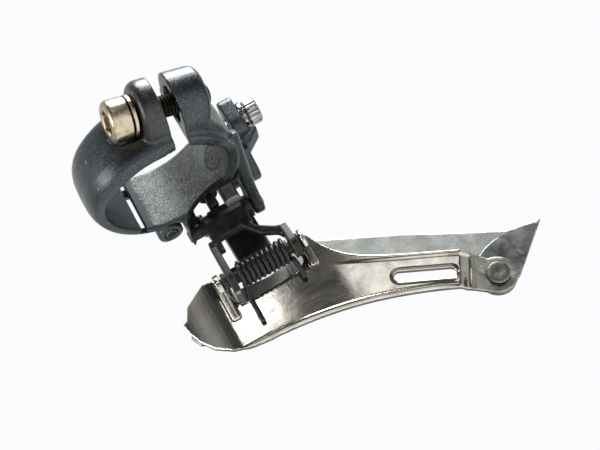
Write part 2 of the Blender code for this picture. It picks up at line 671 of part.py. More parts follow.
def build():
    for obj in list(bpy.data.objects):
        bpy.data.objects.remove(obj)
    scene = bpy.context.scene
    scene.collection.children.link(PARTS)
    scene.collection.children.link(TOOLS)
    clamp_body()
    clamp_band()
    clamp_bolt()
    washer("clamp_washer", BOLT_CENTRE, BOLT_DIR, LUG_FRONT + 0.35, LUG_FRONT + 1.2,
           SHANK_R + GAP, WASHER_R, zinc_steel())
    band_hinge_pin()
    outer_link()
    inner_link()
    cable_bolt()
    washer("cable_washer", CABLE_AT, CABLE_AXIS, 3.2, 4.2, 2.8, 4.1, bright_steel())
    pin("outer_upper_pin", P1, ARM_REAR[0] - 0.3, ARM_OUTER[1] + 0.4)
    pin("inner_upper_pin", P2, ARM_REAR[0] - 0.3, ARM_FRONT[1] + 0.4)
    pin("outer_lower_pin", P3, TAB_REAR[0] - 0.4, TAB_FRONT[1] + 0.4)
    pin("inner_lower_pin", P4, EAR_REAR[0] - 0.4, EAR_FRONT[1] + 0.4)
    washer("spring_sleeve", (0, *P4), (1, 0, 0), COIL_X[0] + 0.8, COIL_X[1] - 0.8, PIN_R + 0.05,
           COIL_R - WIRE_R - 0.2, black_nylon())
    washer("clamp_insert", BOLT_CENTRE, BOLT_DIR, LUG_BACK - 0.8, -4.6, SHANK_R + 0.1, SHANK_R + 1.5,
           pin_steel())
    limit_screw("low_limit_screw", LOW_SCREW, LOW_TIP)
    limit_screw("high_limit_screw", HIGH_SCREW, HIGH_TIP)
    shim("outer_upper_shim", P1, OUTER_LINK_X[1] + 0.3, 0.7)
    shim("outer_lower_shim", P3, OUTER_LINK_X[1] + 0.3, 0.7)
    shim("inner_lower_front_shim", P4, LINK_FRONT_X + LINK_SHEET + 0.3, 1.0)
    shim("inner_lower_rear_shim", P4, LINK_REAR_X - 0.5, 0.3)
    return_spring()
    cage_inner_plate()
    cage_outer_plate()
    tail = INNER_Y - JOGGLE
    rivet("tail_rivet", (RIVET[0], 0, RIVET[1]), (0, 1, 0), tail - SHEET - GAP - 1.4,
          tail + SHEET + 1.4, RIVET_SHANK, RIVET_R)
    rivet("front_rivet", (0, *FRONT_RIVET), (1, 0, 0), EAR_FRONT[0] - 1.3, FLANGE_FRONT[1] + 1.3,
          FRONT_RIVET_R, 2.1)


build()
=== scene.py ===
"""Finished look of the front derailleur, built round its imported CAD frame.

Row frame, metres: origin on the seat-tube axis at mid height of the clamp band, +X forward,
+Y to the non-drive side, +Z up along the seat tube. Sizes below are in millimetres.
"""
import math

import bmesh
import bpy
from mathutils import Matrix, Vector

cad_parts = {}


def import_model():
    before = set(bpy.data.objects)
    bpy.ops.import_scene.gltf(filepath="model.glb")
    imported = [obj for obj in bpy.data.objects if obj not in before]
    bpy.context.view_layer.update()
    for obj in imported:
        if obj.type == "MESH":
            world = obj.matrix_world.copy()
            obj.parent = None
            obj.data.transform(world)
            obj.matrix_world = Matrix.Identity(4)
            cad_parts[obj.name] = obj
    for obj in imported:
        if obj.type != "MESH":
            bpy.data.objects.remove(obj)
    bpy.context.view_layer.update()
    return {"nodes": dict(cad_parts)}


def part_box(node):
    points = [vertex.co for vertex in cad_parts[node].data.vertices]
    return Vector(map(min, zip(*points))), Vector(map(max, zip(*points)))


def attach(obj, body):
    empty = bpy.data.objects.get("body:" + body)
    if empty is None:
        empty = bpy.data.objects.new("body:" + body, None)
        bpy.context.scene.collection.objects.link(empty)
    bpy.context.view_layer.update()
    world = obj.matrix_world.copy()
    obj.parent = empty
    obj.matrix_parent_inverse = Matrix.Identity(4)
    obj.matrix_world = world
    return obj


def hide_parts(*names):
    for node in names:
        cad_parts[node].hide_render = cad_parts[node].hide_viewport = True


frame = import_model()
NODES = frame["nodes"]
MM = 0.001

# clamp
BORE_R = 15.9
BORE_SKIN = 0.12            # how far a face centre may lie behind the bore and still be part of it
MARK_AT = (-13.02, -9.13, 0.0)
SCUFF_END = (7.1, 7.9)      # X over which the scuffed bore gives way to sound paint
SCUFF_RIM = (-6.7, -6.2)    # the same in Z at the lower rim
BOLT_ANGLE = 18.0
HEAD_FROM = 7.3             # along the screw: bright head and washer beyond, greasy shank before
SCREW_SEAT = (-0.5, 21.8, -0.6)
THREAD_PITCH = 0.8

# outer link
ARM_BEHIND = -16.6          # the cable arm lies behind this X
ARM_ABOVE = 12.0            # and the cable pinch above this Z
CABLE_AT = (-24.0, -26.5, 18.2)
FLUTES = 24
FLUTE_DEPTH = 0.04          # share of the head's radius
FLUTED = (4.9, 7.7)         # stretch of the head, counted backwards from CABLE_AT

# cage
INNER_Y = -27.6
OUTER_Y = -40.0
SHEET = 1.4
PLATE_SKIN = 0.5            # the inner plate proper ends this far past its sheet; ears lie beyond
EDGE_DOWN = 0.45            # least downward and most sideways turn of a face on a lower edge
EDGE_SIDE = 0.6
RIVET = (-60.6, -57.0)
FIN_BEHIND = -50.0          # the outer plate is folded across behind this X
FIN_CLEAR = 2.2
STEP_LEAN = (-0.85, -0.53)  # X and Z of the direction across the leaning step
STEP_FRONT = (53.2, 56.2)   # distance behind the origin over which the plate steps out
STEP_BACK = (72.2, 74.9)    # distance along STEP_LEAN over which it steps back
STEP_RISE = 1.7
TAIL_FROM = 75.2
RIM_CENTRE = (2.0, -158.0)  # X and Z of the centre of the plate's lower edge
RIM_R = 115.0
LIP_RISE = 0.16
LIP_RISES = (-1.6, -1.25)   # distance past the lower edge over which the lip rises
LIP_ROLL = 0.26
LIP_ROLLS = (-1.0, -0.1)    # and over which it rolls back
LIP_END = (-53.0, -47.0)    # X over which the lip runs out before the step
TOP_Z = -19.1
TOP_SLOPE = 0.5
TOP_COSINE = 0.894
PANEL_TOP = (0.8, 1.5)      # distance below the upper edge over which the panel sinks
PANEL_FRONT = (25.0, 42.0)  # distance behind the origin over which it begins
PANEL_DEPTH = 0.35
SLOT = ((-39.2, -45.3), (-50.8, -51.1))
SLOT_DISH = 0.18
SLOT_REACH = (1.5, 2.4)     # distance from the slot's middle line over which the dish ends
RELAX_BEHIND = -52.5
RELAX_ROUNDS = 5

# return spring
LOWER_PIVOT = (-21.0, -26.6)
COIL_R = 2.75
COIL_X = (-18.4, -4.9)
COIL_TURNS = 10
COIL_START = -100.0
COIL_STEPS = 28
WIRE_R = 0.66


# ---------------------------------------------------------------- materials

class Shader:
    """Principled material with short helpers for procedural detail in millimetres."""

    def __init__(self, name):
        self.mat = bpy.data.materials.new(name)
        self.mat.use_nodes = True
        self.tree = self.mat.node_tree
        self.bsdf = self.tree.nodes["Principled BSDF"]
        coords = self.tree.nodes.new("ShaderNodeTexCoord")
        scale = self.node("ShaderNodeVectorMath", operation="SCALE")
        self.tree.links.new(coords.outputs["Object"], scale.inputs[0])
        scale.inputs["Scale"].default_value = 1 / MM
        self.mm = scale.outputs[0]

    def node(self, kind, **attributes):
        made = self.tree.nodes.new(kind)
        for key, value in attributes.items():
            setattr(made, key, value)
        return made

    def put(self, target, value):
        if isinstance(value, bpy.types.NodeSocket):
            self.tree.links.new(value, target)
        else:
            target.default_value = value

    def stretched(self, factors):
        made = self.node("ShaderNodeVectorMath", operation="MULTIPLY")
        self.tree.links.new(self.mm, made.inputs[0])
        made.inputs[1].default_value = factors
        return made.outputs[0]

    def noise(self, size, detail=3.0, rough=0.55, distortion=0.0, vector=None):
        made = self.node("ShaderNodeTexNoise")
        self.put(made.inputs["Vector"], vector or self.mm)
        made.inputs["Scale"].default_value = 1.0 / size
        made.inputs["Detail"].default_value = detail
        made.inputs["Roughness"].default_value = rough
        made.inputs["Distortion"].default_value = distortion
        return made.outputs["Fac"]

    def cell_shade(self, size):
        made = self.node("ShaderNodeTexVoronoi")
        self.put(made.inputs["Vector"], self.mm)
        made.inputs["Scale"].default_value = 1.0 / size
        split = self.node("ShaderNodeSeparateColor")
        self.tree.links.new(made.outputs["Color"], split.inputs[0])
        return split.outputs[0]

    def ramp(self, value, low, high, out_low=0.0, out_high=1.0):
        made = self.node("ShaderNodeMapRange", clamp=True)
        self.put(made.inputs["Value"], value)
        made.inputs["From Min"].default_value = low
        made.inputs["From Max"].default_value = high
        made.inputs["To Min"].default_value = out_low
        made.inputs["To Max"].default_value = out_high
        return made.outputs["Result"]

    def times(self, a, b):
        made = self.node("ShaderNodeMath", operation="MULTIPLY")
        self.put(made.inputs[0], a)
        self.put(made.inputs[1], b)
        return made.outputs[0]

    def plus(self, a, b):
        made = self.node("ShaderNodeMath", operation="ADD")
        self.put(made.inputs[0], a)
        self.put(made.inputs[1], b)
        return made.outputs[0]

    def mix(self, factor, a, b):
        made = self.node("ShaderNodeMix", data_type="RGBA")
        self.put(made.inputs["Factor"], factor)
        for socket, value in ((made.inputs[6], a), (made.inputs[7], b)):
            self.put(socket, value if isinstance(value, bpy.types.NodeSocket) else (*value, 1.0))
        return made.outputs[2]

    def axes(self):
        made = self.node("ShaderNodeSeparateXYZ")
        self.tree.links.new(self.mm, made.inputs[0])
        return made.outputs

    def distance(self, point):
        made = self.node("ShaderNodeVectorMath", operation="DISTANCE")
        self.tree.links.new(self.mm, made.inputs[0])
        made.inputs[1].default_value = point
        return made.outputs["Value"]

    def ring(self, reach, radius, half):
        """One where reach is within half of radius, falling to zero outside."""
        away = self.node("ShaderNodeMath", operation="ABSOLUTE")
        self.put(away.inputs[0], self.plus(reach, -radius))
        return self.ramp(away.outputs[0], half * 0.5, half * 1.3, 1.0, 0.0)

    def pointiness(self):
        return self.node("ShaderNodeNewGeometry").outputs["Pointiness"]

    def bump(self, height, distance, strength=1.0):
        made = self.node("ShaderNodeBump")
        self.put(made.inputs["Height"], height)
        made.inputs["Distance"].default_value = distance * MM
        made.inputs["Strength"].default_value = strength
        self.tree.links.new(made.outputs["Normal"], self.bsdf.inputs["Normal"])

    def set(self, **values):
        for key, value in values.items():
            socket = self.bsdf.inputs[key.replace("_", " ")]
            if isinstance(value, tuple):
                value = (*value, 1.0)
            self.put(socket, value)
        return self.mat


def cast_paint():
    """Dark blue-grey metallic paint: fine flakes, orange peel, edges rubbed through to bare metal."""
    s = Shader("cast_paint")
    flakes = s.cell_shade(0.16)
    cloudy = s.noise(6.0, 4.0)
    base = s.mix(s.ramp(cloudy, 0.35, 0.7), (0.021, 0.025, 0.028), (0.037, 0.043, 0.047))
    base = s.mix(s.ramp(flakes, 0.6, 1.0, 0.0, 0.55), base, (0.14, 0.155, 0.165))
    grime = s.ramp(s.plus(s.distance(SCREW_SEAT), s.noise(2.0, 3.0)), 6.6, 10.5, 0.6, 0.0)
    base = s.mix(grime, base, (0.03, 0.026, 0.019))
    edges = s.ramp(s.pointiness(), 0.545, 0.6)
    rubbed = s.times(edges, s.ramp(s.noise(1.1, 5.0, 0.7), 0.5, 0.62))
    chips = s.ramp(s.noise(0.55, 6.0, 0.75), 0.69, 0.73)
    worn = s.plus(rubbed, s.times(chips, 0.7))
    base = s.mix(worn, base, (0.5, 0.5, 0.48))
    rough = s.plus(s.ramp(cloudy, 0.3, 0.7, 0.25, 0.36), s.ramp(flakes, 0.0, 1.0, -0.05, 0.07))
    s.bump(s.plus(s.times(flakes, 0.3), s.noise(0.45, 3.0)), 0.035, 0.55)
    return s.set(Base_Color=base, Metallic=0.78, Roughness=rough, Coat_Weight=0.2, Coat_Roughness=0.24)


def bore_metal():
    """Inside of the clamp: paint scuffed by the tube into a speckled grey, sound paint at the rims.

    Shallow concentric rings mark the casting.
    """
    s = Shader("scuffed_bore")
    specks = s.noise(0.3, 6.0, 0.75)
    patches = s.noise(3.2, 5.0, 0.65)
    x, _, z = s.axes()
    ragged = s.ramp(s.noise(1.4, 5.0, 0.7), 0.3, 0.7, -1.0, 1.0)
    kept = s.ramp(s.plus(x, ragged), SCUFF_END[0], SCUFF_END[1])
    at_rim = s.ramp(s.plus(z, s.times(ragged, 0.25)), SCUFF_RIM[0], SCUFF_RIM[1], 1.0, 0.0)
    kept = s.plus(kept, at_rim)
    base = s.mix(s.ramp(patches, 0.4, 0.65), (0.055, 0.064, 0.064), (0.11, 0.12, 0.115))
    base = s.mix(s.ramp(specks, 0.52, 0.6), base, (0.3, 0.3, 0.28))
    base = s.mix(s.ramp(s.noise(0.5, 5.0, 0.7), 0.3, 0.42, 0.8, 0.0), base, (0.03, 0.034, 0.038))
    reach = s.distance(MARK_AT)
    inner_rings = s.plus(s.ring(reach, 1.7, 0.24), s.ring(reach, 0.5, 0.3))
    rings = s.plus(s.ring(reach, 3.0, 0.28), inner_rings)
    base = s.mix(s.times(rings, 0.75), base, (0.035, 0.04, 0.045))
    base = s.mix(kept, base, (0.032, 0.04, 0.046))
    s.bump(s.plus(specks, s.times(rings, -1.6)), 0.07, 0.7)
    return s.set(Base_Color=base, Metallic=0.7, Roughness=s.ramp(patches, 0.3, 0.7, 0.54, 0.42))


def polished_nickel():
    """Nickel-plated cage: bright, with fine draw lines, hazy patches, brown grime spots and painted
    shade darkening its creases.
    """
    s = Shader("polished_nickel")
    lines = s.noise(0.5, 5.0, 0.7, vector=s.stretched((0.06, 1.0, 2.2)))
    haze = s.noise(7.0, 5.0, 0.6, 0.6)
    base = s.mix(s.ramp(haze, 0.38, 0.66), (0.62, 0.59, 0.53), (0.44, 0.41, 0.36))
    base = s.mix(s.ramp(s.noise(0.7, 6.0, 0.75), 0.58, 0.7, 0.0, 0.8), base, (0.14, 0.125, 0.105))
    # painted shade: concave creases and hollows darkened in the base colour
    crease_shade = s.ramp(s.pointiness(), 0.42, 0.485, 1.0, 0.0)
    base = s.mix(s.times(crease_shade, 0.85), base, (0.05, 0.043, 0.037))
    rough = s.plus(s.ramp(haze, 0.35, 0.7, 0.06, 0.14), s.ramp(lines, 0.4, 0.7, 0.0, 0.07))
    s.bump(s.plus(s.times(lines, 0.5), s.noise(2.5, 4.0)), 0.03, 0.3)
    return s.set(Base_Color=base, Metallic=1.0, Roughness=rough)


def dull_plate():
    """Outer cage plate and tail: grey plated steel, rubbed and speckled by the chain."""
    s = Shader("dull_plate")
    specks = s.noise(0.42, 6.0, 0.75)
    drift = s.noise(5.0, 4.0, 0.6, 0.4)
    lines = s.noise(0.6, 4.0, 0.7, vector=s.stretched((0.08, 1.0, 1.8)))
    base = s.mix(s.ramp(drift, 0.38, 0.66), (0.34, 0.36, 0.345), (0.46, 0.475, 0.45))
    base = s.mix(s.ramp(specks, 0.53, 0.63, 0.0, 0.7), base, (0.12, 0.125, 0.12))
    base = s.mix(s.ramp(s.noise(0.22, 5.0, 0.7), 0.6, 0.7, 0.0, 0.6), base, (0.75, 0.75, 0.71))
    edges = s.ramp(s.pointiness(), 0.54, 0.6, 0.0, 0.8)
    base = s.mix(edges, base, (0.66, 0.65, 0.62))
    rough = s.plus(s.ramp(drift, 0.3, 0.7, 0.4, 0.5), s.ramp(lines, 0.4, 0.7, 0.0, 0.1))
    s.bump(s.plus(specks, s.times(lines, 0.6)), 0.03, 0.5)
    return s.set(Base_Color=base, Metallic=1.0, Roughness=rough)


def black_oxide(name, dark, light, rub_and_highlight, specular, smooth):
    """Black heat-treated steel between two tones, its corners lightened by the amount given after the
    tones: partly rubbed metal, partly painted edge highlight.

    The lower smooth is, the sharper its highlights.
    """
    s = Shader(name)
    drift = s.noise(2.4, 5.0, 0.65, 0.3)
    base = s.mix(s.ramp(drift, 0.38, 0.68), dark, light)
    # lighter corners: partly rubbed metal, partly painted edge highlight
    corners = s.ramp(s.pointiness(), 0.52, 0.58)
    edges = s.times(corners, s.ramp(s.noise(0.7, 4.0), 0.35, 0.55, 0.2, 1.0))
    base = s.mix(s.times(edges, rub_and_highlight), base, (0.17, 0.165, 0.145))
    s.bump(s.noise(0.3, 4.0, 0.7), 0.025, 0.5)
    rough = s.ramp(drift, 0.3, 0.7, smooth, smooth + 0.15)
    return s.set(Base_Color=base, Metallic=0.0, Specular_IOR_Level=specular, Roughness=rough)


def chain_worn(name, low, high):
    """Tail of the cage: pitted and speckled by the chain, between the tones low and high."""
    s = Shader(name)
    specks = s.noise(0.34, 6.0, 0.8)
    drift = s.noise(3.5, 4.0, 0.6, 0.4)
    base = s.mix(s.ramp(drift, 0.36, 0.66), low, high)
    base = s.mix(s.ramp(specks, 0.53, 0.62, 0.0, 0.85), base, (0.04, 0.043, 0.045))
    base = s.mix(s.ramp(s.noise(0.25, 5.0, 0.7), 0.6, 0.7, 0.0, 0.7), base, (0.5, 0.5, 0.48))
    edges = s.ramp(s.pointiness(), 0.54, 0.6, 0.0, 0.8)
    base = s.mix(edges, base, (0.6, 0.6, 0.57))
    s.bump(specks, 0.05, 0.7)
    return s.set(Base_Color=base, Metallic=1.0, Roughness=s.ramp(drift, 0.3, 0.7, 0.3, 0.46))


def yellow_zinc():
    """Bright zinc with a faint gold-to-violet passivation."""
    s = Shader("yellow_zinc")
    drift = s.noise(3.5, 3.0, 0.5, 0.5)
    base = s.mix(s.ramp(drift, 0.36, 0.66), (0.5, 0.41, 0.27), (0.44, 0.38, 0.32))
    base = s.mix(s.ramp(s.noise(1.6, 4.0), 0.5, 0.68, 0.0, 0.8), base, (0.26, 0.17, 0.095))
    # painted shade: hollows such as the socket darkened in the base colour
    crease_shade = s.ramp(s.pointiness(), 0.4, 0.48, 0.8, 0.0)
    base = s.mix(crease_shade, base, (0.1, 0.07, 0.045))
    s.bump(s.noise(0.35, 4.0, 0.6), 0.02, 0.4)
    return s.set(Base_Color=base, Metallic=1.0, Roughness=s.ramp(drift, 0.3, 0.7, 0.16, 0.3))


def bright_screw():
    """Bright plated screw with dark streaks along its axis."""
    s = Shader("bright_screw")
    drift = s.noise(1.8, 4.0)
    streaks = s.noise(0.7, 3.0, 0.6, vector=s.stretched((0.12, 1.0, 1.0)))
    base = s.mix(s.ramp(drift, 0.35, 0.65), (0.48, 0.48, 0.47), (0.3, 0.3, 0.29))
    base = s.mix(s.ramp(streaks, 0.46, 0.6, 0.0, 0.85), base, (0.07, 0.07, 0.07))
    # painted shade: hollows such as the socket darkened in the base colour
    crease_shade = s.ramp(s.pointiness(), 0.4, 0.48, 0.9, 0.0)
    base = s.mix(crease_shade, base, (0.04, 0.04, 0.04))
    s.bump(s.noise(0.3, 4.0), 0.02, 0.4)
    return s.set(Base_Color=base, Metallic=1.0, Roughness=s.ramp(drift, 0.3, 0.7, 0.13, 0.26))


def rivet_steel():
    """Dull olive-grey rivet steel with turning marks."""
    s = Shader("rivet_steel")
    drift = s.noise(1.2, 5.0, 0.7)
    base = s.mix(s.ramp(drift, 0.35, 0.65), (0.1, 0.1, 0.088), (0.19, 0.19, 0.17))
    edges = s.ramp(s.pointiness(), 0.54, 0.6, 0.0, 0.7)
    base = s.mix(edges, base, (0.45, 0.44, 0.42))
    s.bump(s.noise(0.25, 5.0, 0.7), 0.03, 0.6)
    return s.set(Base_Color=base, Metallic=0.95, Roughness=s.ramp(drift, 0.3, 0.7, 0.36, 0.5))


def greasy_thread():
    """Screw shank with a fine pitch, dark with old grease."""
    s = Shader("greasy_thread")
    turn = math.radians(BOLT_ANGLE)
    x, y, _ = s.axes()
    along = s.plus(s.times(x, math.cos(turn)), s.times(y, math.sin(turn)))
    wave = s.node("ShaderNodeMath", operation="SINE")
    s.put(wave.inputs[0], s.times(along, 2 * math.pi / THREAD_PITCH))
    base = s.mix(s.ramp(wave.outputs[0], -0.6, 0.8), (0.012, 0.01, 0.008), (0.1, 0.085, 0.06))
    base = s.mix(s.ramp(s.noise(0.8, 5.0), 0.45, 0.7), base, (0.02, 0.018, 0.015))
    s.bump(wave.outputs[0], 0.25, 0.9)
    return s.set(Base_Color=base, Metallic=0.8, Roughness=0.38)


def nylon():
    """Black moulded nylon, slightly uneven."""
    s = Shader("black_nylon_sleeve")
    drift = s.noise(0.6, 4.0)
    base = s.mix(drift, (0.012, 0.012, 0.013), (0.03, 0.03, 0.03))
    s.bump(drift, 0.02, 0.5)
    return s.set(Base_Color=base, Roughness=s.ramp(drift, 0.3, 0.7, 0.42, 0.58))


PAINT = cast_paint()
BORE = bore_metal()
NICKEL = polished_nickel()
DULL = dull_plate()
BLACK = black_oxide("black_oxide", (0.005, 0.005, 0.006), (0.016, 0.015, 0.014), 0.8, 0.1, 0.34)
OLIVE = black_oxide("olive_black", (0.008, 0.008, 0.007), (0.024, 0.024, 0.02), 1.0, 0.22, 0.28)
SPRING_BLACK = black_oxide("spring_black", (0.005, 0.005, 0.006), (0.01, 0.01, 0.011), 0.06, 0.3, 0.2)
FIN_WORN = chain_worn("chain_worn_fin", (0.11, 0.12, 0.115), (0.25, 0.26, 0.25))
TAIL_WORN = chain_worn("chain_worn_tail", (0.24, 0.23, 0.19), (0.45, 0.44, 0.38))
# darker speckled finish for the downward-facing lower edges; its dark tone is partly painted shade
EDGE_SPECKLE_AND_SHADE = chain_worn("edge_speckle_and_shade", (0.06, 0.056, 0.048), (0.16, 0.15, 0.13))
ZINC = yellow_zinc()
BRIGHT = bright_screw()
RIVET_STEEL = rivet_steel()
NYLON = nylon()
GREASY = greasy_thread()


# ---------------------------------------------------------------- mesh tools

def show(name, mesh, mats, body, node):
    """Put a finished mesh into the scene in place of its CAD node."""
    obj = bpy.data.objects.new(name, mesh)
    bpy.context.scene.collection.objects.link(obj)
    for mat in mats:
        mesh.materials.append(mat)
    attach(obj, body)
    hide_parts(node)


def solid(node):
    """A CAD node as one welded bmesh, in metres."""
    bm = bmesh.new()
    bm.from_mesh(NODES[node].data)
    bmesh.ops.remove_doubles(bm, verts=bm.verts, dist=0.002 * MM)
    bmesh.ops.recalc_face_normals(bm, faces=bm.faces)
    return bm


def evaluated(bm, name, modifiers):
    """Mesh of bm after a list of (type, settings) modifiers."""
    mesh = bpy.data.meshes.new(name)
    bm.to_mesh(mesh)
    bm.free()
    obj = bpy.data.objects.new(name + "_work", mesh)
    bpy.context.scene.collection.objects.link(obj)
    for kind, settings in modifiers:
        mod = obj.modifiers.new(kind, kind)
        for key, value in settings.items():
            setattr(mod, key, value)
    graph = bpy.context.evaluated_depsgraph_get()
    made = bpy.data.meshes.new_from_object(obj.evaluated_get(graph), depsgraph=graph)
    made.name = name
    bpy.data.objects.remove(obj)
    made.materials.clear()
    return made


def skin(bm, name, voxel, rounds):
    """Cast or pressed surface: voxel remesh, then relaxed so that edges turn soft."""
    remesh = {"mode": "VOXEL", "voxel_size": voxel * MM, "use_smooth_shade": True}
    smooth = {"factor": 0.5, "iterations": rounds}
    return evaluated(bm, name, [("REMESH", remesh), ("SMOOTH", smooth)])


def crisp(node, name, width, segments=3):
    """Machined piece: CAD solid with its edges broken by a small bevel."""
    bm = solid(node)
    bmesh.ops.dissolve_limit(bm, angle_limit=math.radians(0.8), verts=bm.verts, edges=bm.edges)
    settings = {"width": width * MM, "segments": segments, "limit_method": "ANGLE",
                "angle_limit": math.radians(32), "use_clamp_overlap": True, "harden_normals": False}
    mesh = evaluated(bm, name, [("BEVEL", settings)])
    mesh.shade_smooth()
    mesh.set_sharp_from_angle(angle=math.radians(42))
    return mesh


def smooth_step(value, start, end):
    """Zero before start, one past end, with a soft change between."""
    t = max(0.0, min(1.0, (value - start) / (end - start)))
    return t * t * (3.0 - 2.0 * t)


def lathe(base, axis, profile, steps=64, shape=None):
    """Turned bmesh; shape(along, angle) scales the radius for flutes and knurls."""
    axis = Vector(axis).normalized()
    side = axis.orthogonal().normalized()
    other = axis.cross(side)
    bm = bmesh.new()
    rings = []
    for along, radius in profile:
        centre = Vector(base) + axis * along
        ring = []
        for i in range(steps):
            a = 2 * math.pi * i / steps
            r = radius * (shape(along, a) if shape else 1.0)
            ring.append(bm.verts.new((centre + (side * math.cos(a) + other * math.sin(a)) * r) * MM))
        rings.append(ring)
    for low, high in zip(rings, rings[1:]):
        for i in range(steps):
            j = (i + 1) % steps
            bm.faces.new((low[i], low[j], high[j], high[i]))
    bm.faces.new(rings[0][::-1])
    bm.faces.new(rings[-1])
    bmesh.ops.recalc_face_normals(bm, faces=bm.faces)
    return bm


def carve(bm, cutter, name):
    """Exact difference of two bmeshes, returned as a bmesh."""
    tool_mesh = bpy.data.meshes.new("tool")
    cutter.to_mesh(tool_mesh)
    cutter.free()
    tool = bpy.data.objects.new("tool", tool_mesh)
    bpy.context.scene.collection.objects.link(tool)
    settings = {"operation": "DIFFERENCE", "solver": "EXACT", "object": tool}
    mesh = evaluated(bm, name, [("BOOLEAN", settings)])
    bpy.data.objects.remove(tool)
    out = bmesh.new()
    out.from_mesh(mesh)
    return out


def smooth_mesh(bm, name, angle=38):
    """Mesh of bm, shaded smooth except at edges sharper than angle degrees."""
    mesh = bpy.data.meshes.new(name)
    bm.to_mesh(mesh)
    bm.free()
    mesh.shade_smooth()
    mesh.set_sharp_from_angle(angle=math.radians(angle))
    return mesh


# ---------------------------------------------------------------- pieces

def under_edge(normal):
    """True on the downward-facing lower edge of a sheet that stands upright."""
    return normal.z < -EDGE_DOWN and abs(normal.y) < EDGE_SIDE


def clamp_faces(x, y, z, normal):
    """Painted casting, scuffed where the tube sits."""
    return 1 if math.hypot(x, y) < BORE_R + BORE_SKIN else 0


def outer_link_faces(x, y, z, normal):
    """Painted cable arm, olive-black below it, a tone that is partly painted shade on the bar."""
    return 1 if x > ARM_BEHIND and z < ARM_ABOVE else 0


def inner_plate_faces(x, y, z, normal):
    """Polished plate, chain-worn tail behind its leaning step, darker speckled lower edge whose dark
    tone is partly painted shade.
    """
    if under_edge(normal):
        return 2
    across = x * STEP_LEAN[0] + z * STEP_LEAN[1]
    return 1 if across > TAIL_FROM and y < INNER_Y + SHEET + PLATE_SKIN else 0


def outer_plate_faces(x, y, z, normal):
    """Dull plate, chain-worn fin folded across towards the inner plate, darker speckled lower edge
    whose dark tone is partly painted shade.
    """
    if under_edge(normal):
        return 2
    return 1 if x < FIN_BEHIND and y > OUTER_Y + FIN_CLEAR else 0


def relax(mesh, behind, rounds):
    """Even out the part of a mesh with x below behind."""
    bm = bmesh.new()
    bm.from_mesh(mesh)
    picked = [v for v in bm.verts if v.co.x < behind]
    for _ in range(rounds):
        bmesh.ops.smooth_vert(bm, verts=picked, factor=0.5, use_axis_y=True)
    bm.to_mesh(mesh)
    bm.free()


def inner_plate_press(x, y, z):
    """Offset along Y: rolled lower rim, sunk panel with its slot, and the leaning step."""
    if y > INNER_Y + SHEET + PLATE_SKIN:
        return 0.0
    across = x * STEP_LEAN[0] + z * STEP_LEAN[1]
    step = STEP_RISE * (smooth_step(-x, *STEP_FRONT) - smooth_step(across, *STEP_BACK))
    rim = math.hypot(x - RIM_CENTRE[0], z - RIM_CENTRE[1]) - RIM_R
    lip = LIP_RISE * smooth_step(-rim, *LIP_RISES) - LIP_ROLL * smooth_step(-rim, *LIP_ROLLS)
    lip *= smooth_step(x, *LIP_END)
    under_top = (TOP_Z + TOP_SLOPE * x - z) * TOP_COSINE
    panel = smooth_step(under_top, *PANEL_TOP) * smooth_step(-x, *PANEL_FRONT)
    (ax, az), (bx, bz) = SLOT
    t = ((x - ax) * (bx - ax) + (z - az) * (bz - az)) / ((bx - ax) ** 2 + (bz - az) ** 2)
    t = max(0.0, min(1.0, t))
    reach = math.hypot(x - ax - t * (bx - ax), z - az - t * (bz - az))
    border = -SLOT_DISH * (1 - smooth_step(reach, *SLOT_REACH))
    return lip + border + step - PANEL_DEPTH * panel


def soft_edged(node, body, mats, voxel, rounds, faces=None, press=None):
    """Cast or pressed piece with soft edges.

    faces(x, y, z, normal) gives each face its place in mats; press(x, y, z) moves the surface in Y.
    """
    mesh = skin(solid(node), node + "_skin", voxel, rounds)
    if press:
        for vert in mesh.vertices:
            x, y, z = vert.co / MM
            vert.co.y += press(x, y, z) * MM
        relax(mesh, RELAX_BEHIND * MM, RELAX_ROUNDS)
    show(node + "_skin", mesh, mats, body, node)
    if faces:
        for face in mesh.polygons:
            face.material_index = faces(*(face.center / MM), face.normal)


def clamp_bolt():
    """Socket screw with a rounded head and a dark greasy shank."""
    mesh = crisp("clamp_bolt", "clamp_bolt_turned", 0.65, 5)
    turn = math.radians(BOLT_ANGLE)
    for face in mesh.polygons:
        x, y, _ = face.center / MM
        along = x * math.cos(turn) + y * math.sin(turn)
        face.material_index = 1 if along < HEAD_FROM else 0
    show("clamp_bolt_turned", mesh, [ZINC, GREASY], "bolt", "clamp_bolt")


def cable_bolt():
    """Socket bolt with a straight-fluted head."""
    def flutes(along, angle):
        if not FLUTED[0] <= along <= FLUTED[1]:
            return 1.0
        return 1.0 - FLUTE_DEPTH * (0.5 + 0.5 * math.cos(FLUTES * angle))

    shank = [(-2.0, 2.0), (-1.5, 2.5), (4.5, 2.5)]
    head = [(4.5, 3.3), (4.9, 3.7), (5.3, 3.7), (7.4, 3.7), (7.7, 3.7), (8.0, 3.45), (8.3, 3.0)]
    socket = lathe(CABLE_AT, (-1, 0, 0), [(5.6, 2.2), (12.0, 2.2)], 6)
    turned = lathe(CABLE_AT, (-1, 0, 0), shank + head, 192, flutes)
    bm = carve(turned, socket, "cable_bolt_turned")
    mesh = smooth_mesh(bm, "cable_bolt_turned", 50)
    show("cable_bolt_turned", mesh, [BRIGHT], "anchor", "cable_bolt")


